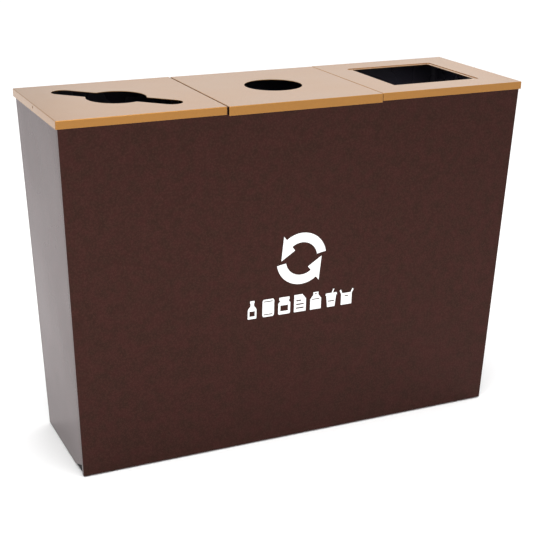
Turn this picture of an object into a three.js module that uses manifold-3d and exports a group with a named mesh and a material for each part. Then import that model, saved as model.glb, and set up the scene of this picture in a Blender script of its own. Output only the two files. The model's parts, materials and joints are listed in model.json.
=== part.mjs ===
// A three-bay recycling bin station: a tapered sheet-steel body on glides, with three lift-off lids
// over three lift-out liners. Millimetres, +Z up. The origin is on the floor under the middle of the
// station, X runs along its width and +Y points to its back.

import * as THREE from "three";
import { mergeVertices } from "three/addons/utils/BufferGeometryUtils.js";
import Module from "manifold-3d";

const wasm = await Module();
wasm.setup();

// ---------------------------------------------------------------- driving dimensions

const WIDTH = 1034; // over the three lids
const DEPTH = 336; // over one lid
const HEIGHT = 762; // floor to lid tops
const BAYS = [-1, 0, 1]; // left, centre and right bay
const SHEET = 1.2; // steel sheet of the body and the lids
const GAP = 0.3; // between pieces that touch

const GLIDE_HEIGHT = 3; // the body's lower edge stands this far off the floor
const TAPER = 27.5; // how far each wall leans in between the rim and the lower edge
const OVERHANG = 3.5; // how far the lids stand out past the body's rim
const BEND = 2; // outer radius of the body's corner bends
const RETURN = 10; // the front and back panels wrap this far round the corners
const RIM_FLANGE = 9; // inward flange round the body's rim
const FOOT_FLANGE = 62; // inward flange under the front and back panels
const END_FLANGE = 15; // inward flange under the side panels
const NOTCH_RISE = 22; // slanted cut at the side panels' lower front corners: up the corner

const LID_SKIRTS = [16.2, 18.4, 16]; // heights of the lids' down-turned edges, from left to right
const LID_BEND = 1.8; // outer radius along the lids' edges
const LID_CORNER = 2.4; // outer radius of the lids' upright corners
const LID_GAPS = [2.6, 1]; // between the left and centre lids, and the centre and right lids
const LID_PLAY = 1.3; // the centre lid sits this far forward, and its neighbours as far back
const LID_END_CLEARANCE = 18; // the skirts between lids stop this far short of the front and back
const HOLE = { radius: 61.5, shift: -1.2 }; // round openings, and how far off the lid's middle
const SLOT_WIDTH = 45; // slot across the left lid's round opening
const SLOT_REACH = 87.2; // from the opening's centre to each slot end's centre, along X and along Y
const WINDOW = { width: 199, depth: 192.5, corner: 3, shift: [-4.6, 0.2] }; // in the right lid
const LEDGE = { width: 9, step: 1.3, corner: 5 }; // recessed round the window
const HANG_HOLE = { radius: 2.6, below: 7 }; // in the outer skirts of the end lids

const RAIL = { width: 12, height: 20, tab: 15 }; // cross rails under the seams between the lids
const FLOOR = { top: 21.2, clearance: 1.6 }; // raised floor inside the body
const BEARER = { thickness: 3, relief: 25, endLength: 140 }; // flat bars on edge under the floor
const PAD = { width: 20, depth: 56, clearance: 0.4 }; // rubber blocks behind the side panels' cuts
const LINER = { width: 318, depth: 306, corner: 26, top: 752, draft: 16, wall: 2.5, lip: 6, skirt: 12 };
const HAND_SLOT = { width: 96, height: 26, corner: 8, below: 44 }; // through both ends of each liner
const FOOT = { x: 422, y: 124, radius: 10, chamfer: 0.5 }; // glides
const SCREW = { radius: 2, head: 4, headHeight: 2, sunk: 0.3, top: 9.5, bore: 2.3 };
const NUT = { flats: 7, height: 3.2 };
const PAST = 1; // how far a cutting tool runs past the face that it cuts

const DECAL = 0.3; // thickness of the front graphics
const EMBLEM = { height: 421, radius: 47, band: 21, head: 43, sweep: 118 };
const PICTOGRAM = { bottom: 299.6, height: 41, pitch: 37.2 };

// ---------------------------------------------------------------- sizes worked out from them

const BODY_BOTTOM = GLIDE_HEIGHT;
const BODY_TOP = HEIGHT - SHEET - GAP;
const HALF_W = WIDTH / 2 - OVERHANG; // the body's rim, outside
const HALF_D = DEPTH / 2 - OVERHANG;
const LID_WIDTH = (WIDTH - LID_GAPS[0] - LID_GAPS[1]) / BAYS.length;
const RAIL_TOP = HEIGHT - Math.max(...LID_SKIRTS) - GAP;
const PLATE_UNDERSIDE = HEIGHT - SHEET;
const SEAM_X = WIDTH / BAYS.length / 2;
const FOOT_HALF_W = HALF_W - TAPER; // the body's lower edge, outside
const FOOT_HALF_D = HALF_D - TAPER;
const SIDE_EDGE = HALF_D - RETURN - GAP; // where a side panel stops short of the wrapped corners
const TUCK = SHEET + GAP; // how far it then steps in, to pass behind them
const FLANGE_TOP = BODY_BOTTOM + SHEET; // of the flanges round the body's lower edge
const FLOOR_HALF_W = FOOT_HALF_W - SHEET - FLOOR.clearance;
const FLOOR_HALF_D = FOOT_HALF_D - SHEET - FLOOR.clearance;
const LINER_BOTTOM = FLOOR.top + GAP;

// How far a wall has leaned in from its place at the rim, at height z.
const leanAt = (z) => (TAPER * (BODY_TOP - z)) / (BODY_TOP - BODY_BOTTOM);

// ---------------------------------------------------------------- materials

const finish = (color, roughness, metalness) =>
  new THREE.MeshStandardMaterial({ color, roughness, metalness });
const HAMMERED_BROWN = finish(0x3e2924, 0.35, 0.6);
const BRONZE = finish(0xc08a55, 0.4, 0.6);
const BLACK_LINER = finish(0x17171b, 0.25, 0);
const BLACK_RUBBER = finish(0x141414, 0.8, 0);
const ZINC = finish(0xb4b6b8, 0.35, 0.9);
const WHITE_VINYL = finish(0xf4f3ef, 0.5, 0);

// ---------------------------------------------------------------- shape helpers

// A box between two corners, each given as [x, y, z] in any order.
function box(a, b) {
  const size = a.map((value, i) => Math.abs(b[i] - value));
  const middle = a.map((value, i) => (value + b[i]) / 2);
  return new THREE.BoxGeometry(...size).translate(...middle);
}

// An outline from [x, y] points.
function outline(points) {
  return new THREE.Shape(points.map(([x, y]) => new THREE.Vector2(x, y)));
}

// An outline standing on the XY plane, drawn up from one height to another.
function raise(shape, bottom, top) {
  const options = { depth: top - bottom, bevelEnabled: false };
  return new THREE.ExtrudeGeometry(shape, options).translate(0, 0, bottom);
}

// The same with its top and bottom edges rounded.
function raiseRounded(shape, bottom, top, radius) {
  const options = {
    depth: top - bottom - 2 * radius,
    bevelThickness: radius,
    bevelSize: radius,
    bevelOffset: -radius,
    bevelSegments: 4,
  };
  return new THREE.ExtrudeGeometry(shape, options).translate(0, 0, bottom + radius);
}

// Points along an arc, from one angle to another in radians.
function arc(cx, cy, radius, from, to, steps = 6) {
  return Array.from({ length: steps + 1 }, (_, i) => {
    const angle = from + ((to - from) * i) / steps;
    return [cx + radius * Math.cos(angle), cy + radius * Math.sin(angle)];
  });
}

// A rectangle with round corners, centred on the origin.
function roundedRectangle(width, depth, radius, steps = 6) {
  const x = width / 2 - radius;
  const y = depth / 2 - radius;
  const quarter = Math.PI / 2;
  return outline([
    ...arc(x, y, radius, 0, quarter, steps),
    ...arc(-x, y, radius, quarter, 2 * quarter, steps),
    ...arc(-x, -y, radius, 2 * quarter, 3 * quarter, steps),
    ...arc(x, -y, radius, 3 * quarter, 4 * quarter, steps),
  ]);
}

// An upright cylinder between two heights.
function upright(x, y, radius, bottom, top, sides = 32) {
  const geometry = new THREE.CylinderGeometry(radius, radius, top - bottom, sides);
  return geometry.rotateX(Math.PI / 2).translate(x, y, (bottom + top) / 2);
}

// A geometry as a solid that can be joined and cut, and back again.
function solid(geometry) {
  const bare = geometry.clone();
  bare.deleteAttribute("normal");
  bare.deleteAttribute("uv");
  const merged = mergeVertices(bare, 1e-4);
  return new wasm.Manifold(
    new wasm.Mesh({
      numProp: 3,
      vertProperties: merged.attributes.position.array,
      triVerts: new Uint32Array(merged.index.array),
    }),
  );
}

function geometryOf(shape) {
  const mesh = shape.getMesh();
  const geometry = new THREE.BufferGeometry();
  geometry.setAttribute("position", new THREE.BufferAttribute(mesh.vertProperties, 3));
  geometry.setIndex(new THREE.BufferAttribute(mesh.triVerts, 1));
  const faceted = geometry.toNonIndexed();
  faceted.computeVertexNormals();
  return faceted;
}

const join = (...geometries) => geometryOf(geometries.map(solid).reduce((a, b) => a.add(b)));
const cut = (base, ...tools) => geometryOf(tools.map(solid).reduce((a, b) => a.subtract(b), solid(base)));

// Moves every vertex towards the middle planes by shift(z), along the axes asked for. Sheets keep
// their thickness and bends keep their radius, because each quadrant moves as one piece.
function drawIn(geometry, shift, alongX = true, alongY = true) {
  const position = geometry.attributes.position;
  for (let i = 0; i < position.count; i++) {
    const by = shift(position.getZ(i));
    if (alongX) position.setX(i, position.getX(i) - Math.sign(position.getX(i)) * by);
    if (alongY) position.setY(i, position.getY(i) - Math.sign(position.getY(i)) * by);
  }
  return geometry;
}

// ---------------------------------------------------------------- assembly

const station = new THREE.Group();

function place(name, geometry, material, position = [0, 0, 0]) {
  const mesh = new THREE.Mesh(geometry, material);
  mesh.name = name;
  mesh.position.set(...position);
  station.add(mesh);
}

// ---------------------------------------------------------------- body panels

// Front (facing -1) or back (facing 1): a flat sheet with corner returns, a rim flange at the top and
// a wider flange at the bottom that the glides are screwed to.
function wrappedPanel(facing) {
  const cx = HALF_W - BEND;
  const cy = HALF_D - BEND;
  const rightHalf = [
    ...arc(cx, cy, BEND, Math.PI / 2, 0),
    [HALF_W, HALF_D - RETURN],
    [HALF_W - SHEET, HALF_D - RETURN],
    ...arc(cx, cy, BEND - SHEET, 0, Math.PI / 2),
  ];
  const leftHalf = rightHalf.map(([x, y]) => [-x, y]).reverse();
  const plan = [...rightHalf, ...leftHalf].map(([x, y]) => [x, facing * y]);
  const sheet = raise(outline(plan), BODY_BOTTOM, BODY_TOP);
  const lap = facing * (HALF_D - SHEET / 2);
  const end = HALF_W - 2 * TUCK;
  const rim = box([-end, lap, BODY_TOP - SHEET], [end, facing * (HALF_D - RIM_FLANGE), BODY_TOP]);
  const foot = box([-end, lap, BODY_BOTTOM], [end, facing * (HALF_D - FOOT_FLANGE), FLANGE_TOP]);
  const holes = [-1, 1].map((side) =>
    upright(side * FOOT.x, facing * FOOT.y, SCREW.bore, BODY_BOTTOM - PAST, FLANGE_TOP + PAST, 24),
  );
  return cut(drawIn(join(sheet, rim, foot), leanAt), ...holes);
}

// Left (side -1) or right (side 1): a flat sheet whose front and back edges step inwards to tuck
// behind the corner returns, with flanges at top and bottom and its lower front corner cut off at a
// slant.
function sidePanel(side) {
  const tuckEnd = HALF_D - BEND - GAP;
  const backHalf = [
    [HALF_W, SIDE_EDGE],
    [HALF_W - TUCK, SIDE_EDGE],
    [HALF_W - TUCK, tuckEnd],
    [HALF_W - TUCK - SHEET, tuckEnd],
    [HALF_W - TUCK - SHEET, SIDE_EDGE - SHEET],
    [HALF_W - SHEET, SIDE_EDGE - SHEET],
  ];
  const frontHalf = backHalf.map(([x, y]) => [x, -y]).reverse();
  const plan = [...backHalf, ...frontHalf].map(([x, y]) => [side * x, y]);
  const sheet = raise(outline(plan), BODY_BOTTOM, BODY_TOP);
  const lap = side * (HALF_W - SHEET / 2);
  const rimEnd = SIDE_EDGE - SHEET;
  const footEnd = HALF_D - FOOT_FLANGE - FLOOR.clearance;
  const rim = box([lap, -rimEnd, BODY_TOP - SHEET], [side * (HALF_W - RIM_FLANGE), rimEnd, BODY_TOP]);
  const foot = box([lap, -footEnd, BODY_BOTTOM], [side * (HALF_W - END_FLANGE), footEnd, FLANGE_TOP]);
  return drawIn(cut(join(sheet, rim, foot), cornerNotch(side)), leanAt);
}

// The slanted cut at the lower front corner of a side panel, as a prism through the sheet. It reaches
// as far along the floor as the front panel's bottom flange.
function cornerNotch(side) {
  const reach = FOOT_FLANGE - HALF_D;
  const profile = outline([
    [reach, BODY_BOTTOM - PAST],
    [reach, BODY_BOTTOM],
    [-SIDE_EDGE, BODY_BOTTOM + NOTCH_RISE],
    [-HALF_D, BODY_BOTTOM + NOTCH_RISE],
    [-HALF_D, BODY_BOTTOM - PAST],
  ]);
  const through = 2 * END_FLANGE;
  const prism = new THREE.ExtrudeGeometry(profile, { depth: through, bevelEnabled: false });
  const alongX = new THREE.Matrix4().makeBasis(
    new THREE.Vector3(0, 1, 0),
    new THREE.Vector3(0, 0, 1),
    new THREE.Vector3(1, 0, 0),
  );
  return prism.applyMatrix4(alongX).translate(side * HALF_W - through / 2, 0, 0);
}

place("front_panel", wrappedPanel(-1), HAMMERED_BROWN);
place("back_panel", wrappedPanel(1), HAMMERED_BROWN);
place("left_side_panel", sidePanel(-1), HAMMERED_BROWN);
place("right_side_panel", sidePanel(1), HAMMERED_BROWN);

// ---------------------------------------------------------------- floor

// A flat sheet on bars that stand on edge on the flanges round the body's lower edge.
function floorPlate() {
  return box([-FLOOR_HALF_W, -FLOOR_HALF_D, FLOOR.top - SHEET], [FLOOR_HALF_W, FLOOR_HALF_D, FLOOR.top]);
}

// A bar on edge under the floor, seen from above as the rectangle between two [x, y] corners.
function bearer(a, b) {
  return box([...a, FLANGE_TOP + GAP], [...b, FLOOR.top - SHEET - GAP]);
}

place("floor_plate", floorPlate(), HAMMERED_BROWN);

for (const [end, facing] of [["front", -1], ["back", 1]]) {
  const reach = FLOOR_HALF_W - BEARER.relief;
  const inner = facing * (FLOOR_HALF_D - BEARER.thickness);
  place(`${end}_bearer`, bearer([-reach, facing * FLOOR_HALF_D], [reach, inner]), HAMMERED_BROWN);
}

for (const [hand, side] of [["left", -1], ["right", 1]]) {
  const half = BEARER.thickness / 2;
  const reach = FLOOR_HALF_D - BEARER.thickness - GAP;
  const inner = side * (FLOOR_HALF_W - BEARER.thickness);
  const end = BEARER.endLength / 2;
  place(`${hand}_end_bearer`, bearer([side * FLOOR_HALF_W, -end], [inner, end]), HAMMERED_BROWN);
  const middle = bearer([-half, -reach], [half, reach]);
  place(`${hand}_middle_bearer`, middle, HAMMERED_BROWN, [side * SEAM_X, 0, 0]);
}

// A rubber block on the front panel's bottom flange, in the corner behind a side panel's cut.
function cornerPad(side) {
  const outer = side * (FOOT_HALF_W - SHEET - PAD.clearance);
  const back = FOOT_FLANGE - FOOT_HALF_D;
  return box(
    [outer, back, FLANGE_TOP + GAP],
    [outer - side * PAD.width, back - PAD.depth, FLOOR.top - SHEET - GAP],
  );
}

place("front_left_corner_pad", cornerPad(-1), BLACK_RUBBER);
place("front_right_corner_pad", cornerPad(1), BLACK_RUBBER);

// ---------------------------------------------------------------- cross rails

// A channel, open downwards, that runs from the front panel to the back panel under one seam, with a
// welding tab at each end.
function crossRail() {
  const bottom = RAIL_TOP - RAIL.height;
  const end = HALF_D - leanAt(bottom) - SHEET - GAP;
  const half = RAIL.width / 2;
  const hollowEnd = end - SHEET / 2;
  const bar = box([-half, -end, bottom], [half, end, RAIL_TOP]);
  const hollow = box(
    [SHEET - half, -hollowEnd, bottom - PAST],
    [half - SHEET, hollowEnd, RAIL_TOP - SHEET],
  );
  const tabs = [-1, 1].map((sign) =>
    box([-RAIL.tab, sign * end, bottom], [RAIL.tab, sign * (end - SHEET), RAIL_TOP]),
  );
  return join(cut(bar, hollow), ...tabs);
}

place("left_cross_rail", crossRail(), HAMMERED_BROWN, [-SEAM_X, 0, 0]);
place("right_cross_rail", crossRail(), HAMMERED_BROWN, [SEAM_X, 0, 0]);

// ---------------------------------------------------------------- lids

const BAY_NAMES = ["left", "centre", "right"];
const LID_CENTRES = [
  LID_WIDTH / 2 - WIDTH / 2,
  LID_WIDTH * 1.5 + LID_GAPS[0] - WIDTH / 2,
  WIDTH / 2 - LID_WIDTH / 2,
];

// The plate with its four turned-down edges. The edges that face another lid stop short of the body's
// front and back rims, which they would otherwise cross.
function lidShell(bay, skirt) {
  const bottom = HEIGHT - skirt;
  const trim = bottom - 2 * LID_BEND;
  const block = (inset, low, high) =>
    raiseRounded(
      roundedRectangle(LID_WIDTH - 2 * inset, DEPTH - 2 * inset, LID_CORNER - inset, 4),
      low,
      high,
      LID_BEND - inset,
    );
  const outside = block(0, trim, HEIGHT);
  const inside = block(SHEET, trim - LID_BEND, PLATE_UNDERSIDE);
  const below = box([-LID_WIDTH, -DEPTH, trim - PAST], [LID_WIDTH, DEPTH, bottom]);
  const x = LID_WIDTH / 2;
  const y = DEPTH / 2;
  const clearances = [-1, 1].filter((side) => side !== bay).flatMap((side) =>
    [-1, 1].map((end) =>
      box(
        [side * (x + PAST), end * (y - LID_END_CLEARANCE), trim],
        [side * (x - SHEET - PAST), end * (y - SHEET), PLATE_UNDERSIDE],
      ),
    ),
  );
  return cut(outside, inside, below, ...clearances);
}

// A round hole through a lid's plate.
function roundOpening() {
  return upright(HOLE.shift, 0, HOLE.radius, PLATE_UNDERSIDE - PAST, HEIGHT + PAST, 64);
}

// A round-ended slot through a lid's plate, from the back left to the front right.
function diagonalSlot() {
  const length = 2 * Math.SQRT2 * SLOT_REACH + SLOT_WIDTH;
  const shape = roundedRectangle(length, SLOT_WIDTH, SLOT_WIDTH / 2, 12);
  const slot = raise(shape, PLATE_UNDERSIDE - PAST, HEIGHT + PAST);
  return slot.rotateZ(-Math.PI / 4).translate(HOLE.shift, 0, 0);
}

// The hole in an end lid's outer skirt, through which it hangs while it is coated.
function hangHole(side) {
  const drill = new THREE.CylinderGeometry(HANG_HOLE.radius, HANG_HOLE.radius, 4 * SHEET, 20);
  return drill.rotateZ(Math.PI / 2).translate((side * LID_WIDTH) / 2, 0, HEIGHT - HANG_HOLE.below);
}

// A square window with a ledge round it, pressed a little below the plate.
function windowed(shell) {
  const { width, depth, corner, shift } = WINDOW;
  const block = (grow, radius, bottom, top) =>
    raise(roundedRectangle(width + 2 * grow, depth + 2 * grow, radius), bottom, top).translate(...shift, 0);
  const ledgeTop = HEIGHT - LEDGE.step;
  const tray = block(LEDGE.width + SHEET, LEDGE.corner + SHEET, ledgeTop - SHEET, HEIGHT - SHEET / 2);
  const recess = block(LEDGE.width, LEDGE.corner, ledgeTop, HEIGHT + PAST);
  const opening = block(0, corner, ledgeTop - SHEET - PAST, HEIGHT + PAST);
  return cut(join(shell, tray), recess, opening);
}

const LIDS = [
  cut(lidShell(-1, LID_SKIRTS[0]), roundOpening(), diagonalSlot(), hangHole(-1)),
  cut(lidShell(0, LID_SKIRTS[1]), roundOpening()),
  cut(windowed(lidShell(1, LID_SKIRTS[2])), hangHole(1)),
];

LIDS.forEach((geometry, i) => {
  const play = BAYS[i] === 0 ? -LID_PLAY : LID_PLAY;
  place(`${BAY_NAMES[i]}_lid`, geometry, BRONZE, [LID_CENTRES[i], play, 0]);
});

// ---------------------------------------------------------------- liners

// A tapered tub with round corners, a rolled rim that is open underneath, and a hand slot in each end.
function liner() {
  const { width, depth, corner, top, draft, wall, lip, skirt } = LINER;
  const narrowing = (z) => (draft * (top - z)) / (top - LINER_BOTTOM);
  const block = (inset, low, high) =>
    raise(roundedRectangle(width - 2 * inset, depth - 2 * inset, corner - inset, 10), low, high);
  const tapered = (inset, low, high) => drawIn(block(inset, low, high), narrowing);
  const tub = tapered(lip, LINER_BOTTOM, top);
  const hollow = tapered(lip + wall, LINER_BOTTOM + wall, top + PAST);
  const rim = block(0, top - skirt, top);
  const rimTool = block(wall, top - skirt - PAST, top - wall);
  const underRim = cut(rimTool, tapered(lip, top - skirt - 2 * PAST, top));
  return cut(join(tub, rim), underRim, hollow, handSlots());
}

// One round-cornered bar along X that cuts the hand slots in both ends.
function handSlots() {
  const { width, height, corner, below } = HAND_SLOT;
  const bar = raise(roundedRectangle(height, width, corner), -LINER.width, LINER.width);
  return bar.rotateY(Math.PI / 2).translate(0, 0, LINER.top - below + height / 2);
}

// Each end liner stands midway between its cross rail and the end of the body.
const END_BAY_X = (SEAM_X + RAIL.width / 2 + HALF_W - RIM_FLANGE) / 2;

BAYS.forEach((bay, i) => {
  place(`${BAY_NAMES[i]}_liner`, liner(), BLACK_LINER, [bay * END_BAY_X, 0, 0]);
});

// ---------------------------------------------------------------- glides, screws and nuts

// A closed profile of [radius, height] points turned about the upright axis.
function turned(profile, segments = 28) {
  const points = [...profile, profile[0]].map(([r, z]) => new THREE.Vector2(r, z));
  return new THREE.LatheGeometry(points, segments).rotateX(Math.PI / 2);
}

// A rubber disc with a countersunk bore.
function glide() {
  const top = GLIDE_HEIGHT - GAP;
  const { head, bore, headHeight } = SCREW;
  return turned([
    [head + GAP, 0],
    [FOOT.radius, 0],
    [FOOT.radius - FOOT.chamfer, top],
    [bore, top],
    [bore, headHeight + GAP],
    [head + GAP, GAP],
  ]);
}

// A flat-head screw with its head in the glide's countersink.
function screw() {
  const { radius, head, headHeight, sunk, top } = SCREW;
  return turned([
    [0, sunk],
    [head, sunk],
    [radius, headHeight],
    [radius, top],
    [0, top],
  ]);
}

// A hexagon nut on top of the flange.
function nut() {
  const hexagon = outline(arc(0, 0, NUT.flats / Math.sqrt(3), 0, 2 * Math.PI, 6).slice(0, 6));
  const bottom = FLANGE_TOP + GAP;
  return cut(raise(hexagon, bottom, bottom + NUT.height), upright(0, 0, SCREW.bore, 0, SCREW.top, 24));
}

for (const [end, facing] of [["front", -1], ["back", 1]]) {
  for (const [hand, side] of [["left", -1], ["right", 1]]) {
    const spot = [side * FOOT.x, facing * FOOT.y, 0];
    place(`${end}_${hand}_glide`, glide(), BLACK_RUBBER, spot);
    place(`${end}_${hand}_glide_screw`, screw(), ZINC, spot);
    place(`${end}_${hand}_glide_nut`, nut(), ZINC, spot);
  }
}

// ---------------------------------------------------------------- front graphics

// Stands a flat outline, drawn as seen from the front with its foot at height zero, on the leaning
// front panel as a thin sheet.
function decal(shape, height) {
  const film = raise(shape, 0, DECAL).rotateX(Math.PI / 2);
  return drawIn(film.translate(0, -HALF_D - GAP, height), leanAt, false, true);
}

// One of two curved arrows that chase each other round a circle.
function curvedArrow(start) {
  const { radius, band, head, sweep } = EMBLEM;
  const tail = THREE.MathUtils.degToRad(start);
  const neck = tail + THREE.MathUtils.degToRad(sweep);
  const tip = neck + head / radius;
  const at = (r, angle) => [r * Math.cos(angle), r * Math.sin(angle)];
  return outline([
    ...arc(0, 0, radius + band / 2, tail, neck, 20),
    at(radius + head / 2, neck),
    at(radius, tip),
    at(radius - head / 2, neck),
    ...arc(0, 0, radius - band / 2, neck, tail, 20),
  ]);
}

place("emblem_arrow_upper", decal(curvedArrow(10), EMBLEM.height), WHITE_VINYL);
place("emblem_arrow_lower", decal(curvedArrow(190), EMBLEM.height), WHITE_VINYL);

// Plain pictograms of what goes in. Each is centred on X and has its foot at zero. Its cut-outs are
// rectangles, given as [left, bottom, right, top].
const TALL = PICTOGRAM.height;

function pictogram(points, ...cutOuts) {
  const shape = outline(points.map(([x, y]) => [x, y * TALL]));
  for (const [left, bottom, right, top] of cutOuts) {
    const corners = [[left, bottom], [right, bottom], [right, top], [left, top]];
    shape.holes.push(new THREE.Path(corners.map(([x, y]) => new THREE.Vector2(x, y * TALL))));
  }
  return shape;
}

// The right half of a symmetrical outline, from foot to top, with its mirror image.
const bothHalves = (half) => [...half, ...half.map(([x, y]) => [-x, y]).reverse()];

const PICTOGRAMS = {
  bottle: pictogram(
    bothHalves([[9, 0], [10, 0.03], [10, 0.5], [8, 0.6], [4, 0.72], [4, 0.86], [5, 0.88], [5, 1]]),
    [-6, 0.14, 6, 0.42],
  ),
  can: pictogram(
    bothHalves([[11, 0], [13.5, 0.08], [13.5, 0.88], [11, 0.97]]),
    [-10, 0.82, 10, 0.87],
    [-10, 0.1, 10, 0.15],
  ),
  jar: pictogram(
    bothHalves([[12, 0], [14, 0.05], [14, 0.62], [10, 0.74], [10, 0.78], [12, 0.78], [12, 0.95]]),
    [-9, 0.18, 9, 0.5],
  ),
  paper: pictogram(
    [[-14, 0], [14, 0], [14, 0.7], [5, 0.97], [-14, 0.97]],
    [-9, 0.18, 9, 0.25],
    [-9, 0.39, 9, 0.46],
    [-9, 0.6, 3, 0.67],
  ),
  carton: pictogram(
    bothHalves([[13, 0], [13, 0.6], [6, 0.82], [6, 0.97]]),
    [-9, 0.55, 9, 0.6],
    [-2, 0.84, 2, 0.9],
  ),
  cup: pictogram(
    [[-9, 0], [9, 0], [12, 0.66], [14, 0.66], [13, 0.78], [4, 0.78], [7, 1], [4, 1], [1, 0.78],
      [-13, 0.78], [-14, 0.66], [-12, 0.66]],
    [-7.5, 0.3, 7.5, 0.36],
  ),
  box: pictogram(
    bothHalves([[13, 0], [13, 0.62], [17, 0.82], [14, 0.88], [10, 0.66]]),
    [-4, 0.46, 4, 0.52],
  ),
};

Object.entries(PICTOGRAMS).forEach(([name, shape], i, all) => {
  const x = (i - (all.length - 1) / 2) * PICTOGRAM.pitch;
  place(`pictogram_${name}`, decal(shape, PICTOGRAM.bottom), WHITE_VINYL, [x, 0, 0]);
});

export default station;
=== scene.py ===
import json
import math

import bpy
from mathutils import Matrix, Vector

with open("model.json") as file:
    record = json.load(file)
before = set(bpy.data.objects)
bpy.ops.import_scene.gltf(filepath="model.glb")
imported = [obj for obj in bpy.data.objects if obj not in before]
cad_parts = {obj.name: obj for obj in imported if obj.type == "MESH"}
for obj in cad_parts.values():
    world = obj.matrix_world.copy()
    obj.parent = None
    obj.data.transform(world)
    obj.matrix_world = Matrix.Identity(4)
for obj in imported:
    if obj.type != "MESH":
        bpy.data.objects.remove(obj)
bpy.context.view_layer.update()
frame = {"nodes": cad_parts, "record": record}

MM = 0.001
UP = Vector((0, 0, 1))

# ---------------------------------------------------------------- camera

CAMERA_PLACE = Vector((-1.0769, -2.3432, 1.2634))
CAMERA_AZIMUTH = 24.447  # degrees to the right of +Y
CAMERA_ELEVATION = 19.437  # degrees downwards
CAMERA_ROLL = 0.491
CAMERA_LENS = 82.80  # millimetres
CAMERA_SENSOR = 36


def make_camera():
    """A camera turned by azimuth, elevation and roll, in that order."""
    azimuth, elevation, roll = (
        math.radians(value) for value in (CAMERA_AZIMUTH, CAMERA_ELEVATION, CAMERA_ROLL)
    )
    forward = Vector((
        math.sin(azimuth) * math.cos(elevation),
        math.cos(azimuth) * math.cos(elevation),
        -math.sin(elevation),
    ))
    level = forward.cross(UP).normalized()
    upright = level.cross(forward)
    right = math.cos(roll) * level + math.sin(roll) * upright
    up = math.cos(roll) * upright - math.sin(roll) * level
    turn = Matrix((right, up, -forward)).transposed().to_4x4()
    camera = bpy.data.objects.new("camera", bpy.data.cameras.new("camera"))
    camera.data.lens = CAMERA_LENS
    camera.data.sensor_width = CAMERA_SENSOR
    camera.matrix_world = Matrix.Translation(CAMERA_PLACE) @ turn
    bpy.context.scene.collection.objects.link(camera)
    bpy.context.scene.camera = camera


# ---------------------------------------------------------------- material helpers

# A Mix node's colour sockets share their names with its other sockets, so they are found by place.
MIX_FIRST, MIX_SECOND, MIX_RESULT = 6, 7, 2

# Cosines between a face's normal and the normal of a rounded edge: on a flat, and where the painted edge
# highlight is full.
NO_HIGHLIGHT, FULL_HIGHLIGHT = 0.99, 0.85


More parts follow.
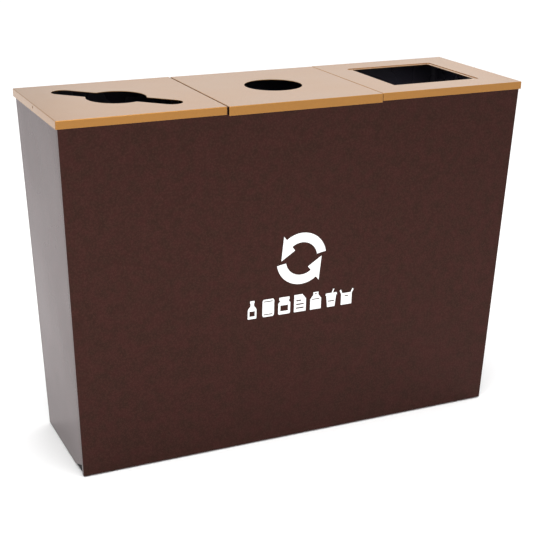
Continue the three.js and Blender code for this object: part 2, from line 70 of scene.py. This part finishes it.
class Nodes:
    """A material's node tree, with one short call for each kind of node."""

    def __init__(self, name):
        self.material = bpy.data.materials.new(name)
        self.material.use_nodes = True
        self.tree = self.material.node_tree
        self.shader = self.tree.nodes["Principled BSDF"]

    def add(self, kind, **settings):
        node = self.tree.nodes.new(kind)
        for key, value in settings.items():
            setattr(node, key, value)
        return node

    def link(self, source, target):
        self.tree.links.new(source, target)

    def give(self, socket, value):
        """Sets a socket to a number or a colour, or links another node's output to it."""
        if isinstance(value, bpy.types.NodeSocket):
            self.link(value, socket)
        elif isinstance(value, tuple):
            socket.default_value = (*value, 1)
        else:
            socket.default_value = value

    def place(self):
        """The object's own coordinates, which are metres in the row frame."""
        return self.add("ShaderNodeTexCoord").outputs["Object"]

    def noise(self, scale, detail=2.0, roughness=0.5, distortion=0.0):
        node = self.add("ShaderNodeTexNoise")
        self.link(self.place(), node.inputs["Vector"])
        node.inputs["Scale"].default_value = scale
        node.inputs["Detail"].default_value = detail
        node.inputs["Roughness"].default_value = roughness
        node.inputs["Distortion"].default_value = distortion
        return node.outputs["Fac"]

    def cells(self, scale):
        """Soft round cells: 0 in the middle of each, rising to where they meet."""
        node = self.add("ShaderNodeTexVoronoi", feature="SMOOTH_F1")
        self.link(self.place(), node.inputs["Vector"])
        node.inputs["Scale"].default_value = scale
        node.inputs["Smoothness"].default_value = 0.6
        return node.outputs["Distance"]

    def ramp(self, source, stops):
        """A colour from source, through (position, colour) stops."""
        node = self.add("ShaderNodeValToRGB")
        self.link(source, node.inputs["Fac"])
        ramp = node.color_ramp
        while len(ramp.elements) < len(stops):
            ramp.elements.new(0.5)
        for element, (position, colour) in zip(ramp.elements, stops):
            element.position = position
            element.color = (*colour, 1)
        return node.outputs["Color"]

    def spread(self, source, low, high, start=0.0, end=1.0):
        """Maps source from start..end to low..high."""
        node = self.add("ShaderNodeMapRange")
        self.link(source, node.inputs["Value"])
        for key, value in {"From Min": start, "From Max": end, "To Min": low, "To Max": high}.items():
            node.inputs[key].default_value = value
        return node.outputs["Result"]

    def bump(self, height, depth, strength, after=None):
        """A normal bent by height, on top of the normal after if there is one."""
        node = self.add("ShaderNodeBump")
        node.inputs["Distance"].default_value = depth
        node.inputs["Strength"].default_value = strength
        self.link(height, node.inputs["Height"])
        if after is not None:
            self.link(after, node.inputs["Normal"])
        return node.outputs["Normal"]

    def mix(self, amount, first, second):
        node = self.add("ShaderNodeMix", data_type="RGBA")
        self.link(amount, node.inputs["Factor"])
        self.give(node.inputs[MIX_FIRST], first)
        self.give(node.inputs[MIX_SECOND], second)
        return node.outputs[MIX_RESULT]

    def edge_highlight(self, reach, amount):
        """A painted highlight: rises from 0 on flat faces to amount along edges, broken up in patches.
        """
        rounded = self.add("ShaderNodeBevel", samples=6)
        rounded.inputs["Radius"].default_value = reach
        turn = self.add("ShaderNodeVectorMath", operation="DOT_PRODUCT")
        self.link(rounded.outputs["Normal"], turn.inputs[0])
        self.link(self.add("ShaderNodeNewGeometry").outputs["Normal"], turn.inputs[1])
        edge = self.spread(turn.outputs["Value"], amount, 0.0, FULL_HIGHLIGHT, NO_HIGHLIGHT)
        highlight_amount = self.add("ShaderNodeMath", operation="MULTIPLY")
        patches = self.spread(self.noise(35, detail=4), 0.3, 1.0, 0.4, 0.6)
        self.link(edge, highlight_amount.inputs[0])
        self.link(patches, highlight_amount.inputs[1])
        return highlight_amount.outputs["Value"]

    def set(self, **values):
        """Gives the shader's inputs their values, each named with _ for its spaces."""
        for key, value in values.items():
            self.give(self.shader.inputs[key.replace("_", " ")], value)
        return self.material


# ---------------------------------------------------------------- materials

HAMMERED_SCALE = 260  # cells of the hammered texture, along a metre


def hammered_brown():
    """Dark brown metallic powder coat with a fine hammered texture, and a painted highlight that makes
    its edges paler.
    """
    nodes = Nodes("hammered_brown")
    pebbles = nodes.cells(HAMMERED_SCALE)
    clouds = nodes.noise(3.0, detail=3)
    patches = nodes.noise(45, detail=3, roughness=0.6)
    grain = nodes.noise(900, detail=2)
    mottled = nodes.ramp(pebbles, [(0.1, (0.055, 0.023, 0.018)), (0.6, (0.029, 0.011, 0.009))])
    drift = nodes.ramp(patches, [(0.35, (0.037, 0.018, 0.013)), (0.65, (0.054, 0.019, 0.016))])
    blend = nodes.spread(grain, 0.35, 0.65)
    normal = nodes.bump(pebbles, 0.25 * MM, strength=0.4)
    normal = nodes.bump(grain, 0.04 * MM, after=normal, strength=0.4)
    coat = nodes.mix(blend, mottled, drift)
    return nodes.set(
        # The base colour is mixed towards a pale painted highlight along the edges.
        Base_Color=nodes.mix(nodes.edge_highlight(1.6 * MM, 0.6), coat, (0.17, 0.125, 0.115)),
        Metallic=0.94,
        Roughness=nodes.spread(clouds, 0.23, 0.31, 0.3, 0.7),
        Specular_Tint=(0.98, 0.95, 0.96),
        Normal=normal,
    )


def bronze():
    """Satin bronze powder coat: a fine metallic flake under a clear coat, with a painted highlight that
    makes its edges paler.
    """
    nodes = Nodes("bronze")
    flake = nodes.noise(1800, detail=1)
    clouds = nodes.noise(4.0, detail=3)
    colour = nodes.ramp(clouds, [(0.3, (0.345, 0.140, 0.013)), (0.7, (0.385, 0.157, 0.017))])
    spark = nodes.ramp(flake, [(0.35, (0.305, 0.123, 0.009)), (0.65, (0.42, 0.178, 0.022))])
    coat = nodes.mix(nodes.spread(flake, 0.3, 0.6), colour, spark)
    return nodes.set(
        # The base colour is mixed towards a pale painted highlight along the edges.
        Base_Color=nodes.mix(nodes.edge_highlight(1.4 * MM, 0.5), coat, (0.62, 0.34, 0.10)),
        Metallic=0.95,
        Roughness=nodes.spread(clouds, 0.36, 0.44, 0.3, 0.7),
        Coat_Weight=0.9,
        Coat_Roughness=0.25,
        Coat_Tint=(0.98, 1.0, 0.98),
        Normal=nodes.bump(flake, 0.03 * MM, strength=0.35),
    )


def black_liner():
    """Injection-moulded black plastic with a soft gloss."""
    nodes = Nodes("black_liner")
    ripple = nodes.noise(14, detail=2)
    grain = nodes.noise(400, detail=2)
    normal = nodes.bump(ripple, 0.6 * MM, strength=0.3)
    normal = nodes.bump(grain, 0.03 * MM, after=normal, strength=0.2)
    return nodes.set(
        Base_Color=nodes.ramp(grain, [(0.3, (0.028, 0.025, 0.036)), (0.7, (0.040, 0.037, 0.051))]),
        Roughness=nodes.spread(ripple, 0.22, 0.32, 0.3, 0.7),
        Specular_IOR_Level=0.5,
        Normal=normal,
    )


def black_rubber():
    """Matte moulded rubber."""
    nodes = Nodes("black_rubber")
    grain = nodes.noise(1500, detail=3)
    return nodes.set(
        Base_Color=nodes.ramp(grain, [(0.3, (0.012, 0.012, 0.012)), (0.7, (0.022, 0.021, 0.020))]),
        Roughness=nodes.spread(grain, 0.65, 0.85, 0.3, 0.7),
        Specular_IOR_Level=0.2,
        Normal=nodes.bump(grain, 0.05 * MM, strength=0.5),
    )


def zinc():
    """Zinc-plated steel with a faint brushed grain."""
    nodes = Nodes("zinc")
    brushed = nodes.noise(700, detail=2, distortion=1.5)
    return nodes.set(
        Base_Color=nodes.ramp(brushed, [(0.3, (0.50, 0.50, 0.49)), (0.7, (0.62, 0.62, 0.60))]),
        Metallic=1.0,
        Roughness=nodes.spread(brushed, 0.28, 0.42, 0.3, 0.7),
        Normal=nodes.bump(brushed, 0.02 * MM, strength=0.4),
    )


def white_vinyl():
    """Cut white film that lets a little of the hammered texture below show."""
    nodes = Nodes("white_vinyl")
    pebbles = nodes.cells(HAMMERED_SCALE)
    shade = nodes.noise(60, detail=2)
    return nodes.set(
        Base_Color=nodes.ramp(shade, [(0.3, (0.86, 0.86, 0.85)), (0.7, (0.92, 0.92, 0.91))]),
        Roughness=nodes.spread(shade, 0.40, 0.52, 0.3, 0.7),
        Normal=nodes.bump(pebbles, 0.12 * MM, strength=0.4),
    )


MATERIALS = {
    build.__name__: build()
    for build in (hammered_brown, bronze, black_liner, black_rubber, zinc, white_vinyl)
}

# ---------------------------------------------------------------- CAD nodes: edges and materials

EDGE_ROUNDING = {
    "hammered_brown": 0.4 * MM,
    "bronze": 0.5 * MM,
    "black_liner": 0.8 * MM,
    "black_rubber": 0.4 * MM,
    "zinc": 0.15 * MM,
    "white_vinyl": 0.06 * MM,
}
EDGE_SEGMENTS = 3
EDGE_ANGLE = math.radians(35)  # edges sharper than this are rounded
FLAT_ANGLE = math.radians(0.5)  # facets closer than this are one flat face
WELD_DISTANCE = 0.005 * MM


def dress(node, slot):
    """Rounds a CAD node's edges, smooths its shading and gives it its slot's material."""
    for polygon in node.data.polygons:
        polygon.use_smooth = True
    weld = node.modifiers.new("weld", "WELD")
    weld.merge_threshold = WELD_DISTANCE
    flats = node.modifiers.new("flats", "DECIMATE")
    flats.decimate_type = "DISSOLVE"
    flats.angle_limit = FLAT_ANGLE
    edges = node.modifiers.new("edges", "BEVEL")
    edges.width = EDGE_ROUNDING[slot]
    edges.segments = EDGE_SEGMENTS
    edges.limit_method = "ANGLE"
    edges.angle_limit = EDGE_ANGLE
    shading = node.modifiers.new("shading", "WEIGHTED_NORMAL")
    shading.keep_sharp = True
    node.data.materials.clear()
    node.data.materials.append(MATERIALS[slot])


for part in frame["record"]["subparts"]:
    dress(frame["nodes"][part["node"]], part["material_slot"])

# ---------------------------------------------------------------- studio

FLOOR_SIZE = 60
SKY_LEVEL = 0.96
SKY_SLOPE = (0.02, -0.20, 0.15)  # how much brighter the sky is towards +X, +Y and +Z

# Each light's place, the point that it faces, its side in metres and its power in watts.
LIGHTS = {
    "overhead": ((-0.5, -1.0, 3.0), (0, 0, 0.4), 2.4, 60),
    "behind": ((2.3, 1.7, 2.7), (0.2, -0.2, 0.76), 1.6, 7),
    "far behind": ((1.5, 3.2, 2.8), (0.0, -0.1, 0.76), 2.4, 8.5),
}


def make_floor():
    """A plain pale floor, wide enough to fill the view."""
    bpy.ops.mesh.primitive_plane_add(size=FLOOR_SIZE)
    floor = bpy.context.object
    floor.name = "floor"
    nodes = Nodes("floor")
    shade = nodes.noise(0.8, detail=2)
    nodes.set(
        Base_Color=nodes.ramp(shade, [(0.3, (0.95, 0.95, 0.95)), (0.7, (0.97, 0.97, 0.97))]),
        Roughness=0.9,
        Specular_IOR_Level=0.0,
    )
    floor.data.materials.append(nodes.material)


def soft_light(name, place, aim, size, power):
    """A square area light that reflections show and the camera doesn't."""
    lamp = bpy.data.lights.new(name, "AREA")
    lamp.size = size
    lamp.energy = power
    light = bpy.data.objects.new(name, lamp)
    light.location = place
    light.rotation_euler = (Vector(aim) - Vector(place)).to_track_quat("-Z", "Y").to_euler()
    light.visible_camera = False
    bpy.context.scene.collection.objects.link(light)


def make_sky():
    """A white studio, a little brighter above the object and in front of it than behind it."""
    world = bpy.data.worlds.new("studio")
    world.use_nodes = True
    tree = world.node_tree
    direction = tree.nodes.new("ShaderNodeTexCoord").outputs["Generated"]
    slope = tree.nodes.new("ShaderNodeVectorMath")
    slope.operation = "DOT_PRODUCT"
    slope.inputs[1].default_value = SKY_SLOPE
    level = tree.nodes.new("ShaderNodeMath")
    level.operation = "ADD"
    level.inputs[1].default_value = SKY_LEVEL
    tree.links.new(direction, slope.inputs[0])
    tree.links.new(slope.outputs["Value"], level.inputs[0])
    background = tree.nodes["Background"]
    background.inputs["Color"].default_value = (1.0, 1.0, 1.0, 1)
    tree.links.new(level.outputs["Value"], background.inputs["Strength"])
    bpy.context.scene.world = world


make_camera()
make_floor()
make_sky()
for name, settings in LIGHTS.items():
    soft_light(name, *settings)

bpy.context.scene.view_settings.view_transform = "Standard"
